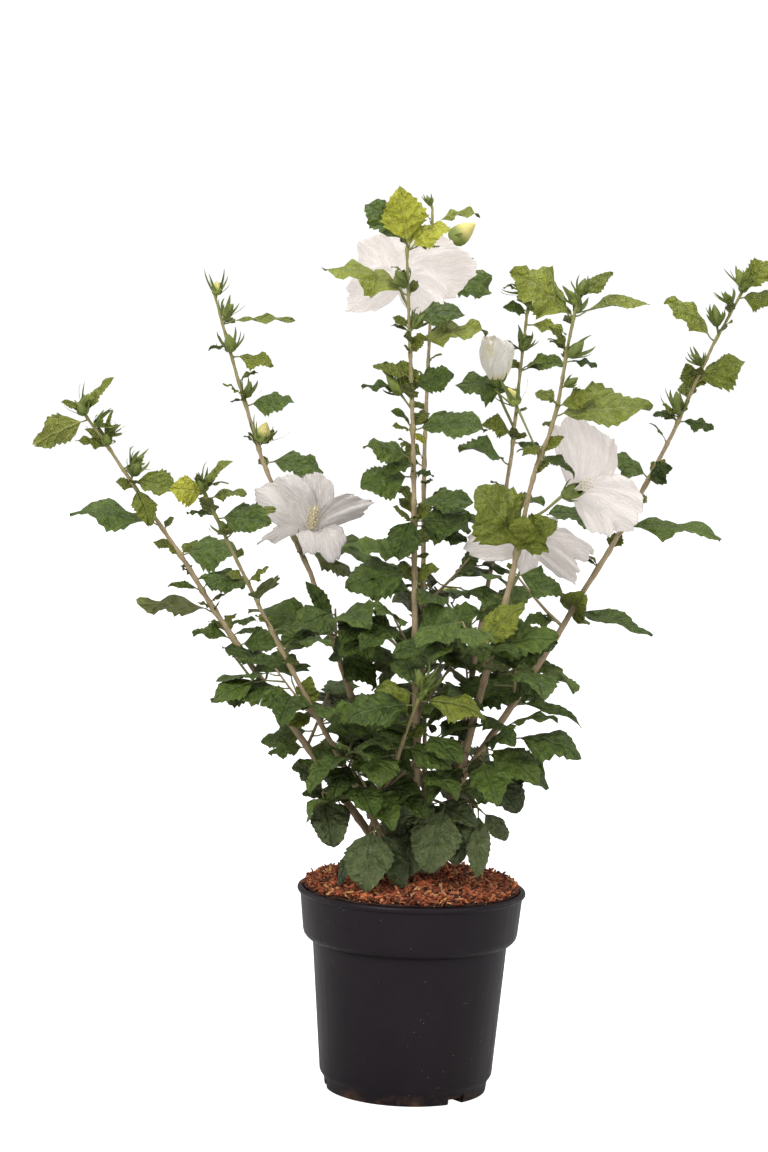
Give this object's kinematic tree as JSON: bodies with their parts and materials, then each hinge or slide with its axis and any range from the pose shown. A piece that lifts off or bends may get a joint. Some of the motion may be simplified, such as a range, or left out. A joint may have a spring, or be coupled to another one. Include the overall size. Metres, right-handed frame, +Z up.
{
  "type": "potted hibiscus shrub",
  "caption": "White-flowered garden hibiscus with upright leafy stems in a round black container pot, standing on its flat underside.",
  "frame": {"origin": "middle of the pot's flat underside, where it stands on the ground", "axes": "+Z up the pot's axis, -Y towards the viewer of the picture, +X to the viewer's right"},
  "size_m": [0.7216, 0.3602, 0.8992],
  "materials": {
    "pot_plastic": "satin black moulded plastic",
    "mulch": "damp composted bark",
    "stool_bark": "rough bark",
    "stem_bark": "smooth tan bark",
    "young_foliage": "leaf, semi-matt",
    "old_foliage": "leaf, slightly glossy",
    "petals": "thin matt petal"
  },
  "bodies": {
    "root": {"bloom_left": "petals", "bloom_low": "petals", "bloom_opening": "petals", "bloom_right": "petals", "bloom_top": "petals", "bough_centre_back": "stem_bark", "bough_centre_front": "stem_bark", "bough_left_back": "stem_bark", "bough_left_front": "stem_bark", "bough_left_outer": "stem_bark", "bough_right_back": "stem_bark", "bough_right_front": "stem_bark", "bough_right_outer": "stem_bark", "bough_short_back": "stem_bark", "bough_short_front": "stem_bark", "compost": "mulch", "pot": "pot_plastic", "shoot_centre_back": "young_foliage", "shoot_centre_front": "young_foliage", "shoot_left_back": "young_foliage", "shoot_left_front": "young_foliage", "shoot_left_outer": "young_foliage", "shoot_right_back": "young_foliage", "shoot_right_front": "young_foliage", "shoot_right_outer": "young_foliage", "shoot_short_back": "young_foliage", "shoot_short_front": "young_foliage", "spray_centre_back_1": "old_foliage", "spray_centre_back_2": "old_foliage", "spray_centre_back_3": "old_foliage", "spray_centre_front_1": "old_foliage", "spray_centre_front_2": "old_foliage", "spray_centre_front_3": "old_foliage", "spray_left_back_1": "old_foliage", "spray_left_back_2": "old_foliage", "spray_left_front_1": "old_foliage", "spray_left_front_2": "old_foliage", "spray_left_front_3": "old_foliage", "spray_left_outer_1": "old_foliage", "spray_left_outer_2": "old_foliage", "spray_left_outer_3": "old_foliage", "spray_low_front": "old_foliage", "spray_low_left": "old_foliage", "spray_low_middle": "old_foliage", "spray_low_outer": "old_foliage", "spray_low_right": "old_foliage", "spray_right_back_1": "old_foliage", "spray_right_back_2": "old_foliage", "spray_right_front_1": "old_foliage", "spray_right_front_2": "old_foliage", "spray_right_front_3": "old_foliage", "spray_right_outer_1": "old_foliage", "spray_right_outer_2": "old_foliage", "spray_right_outer_3": "old_foliage", "spray_short_back_1": "old_foliage", "spray_short_back_2": "old_foliage", "spray_short_front_1": "old_foliage", "spray_short_front_2": "old_foliage", "stool": "stool_bark"}
  },
  "joints": []
}
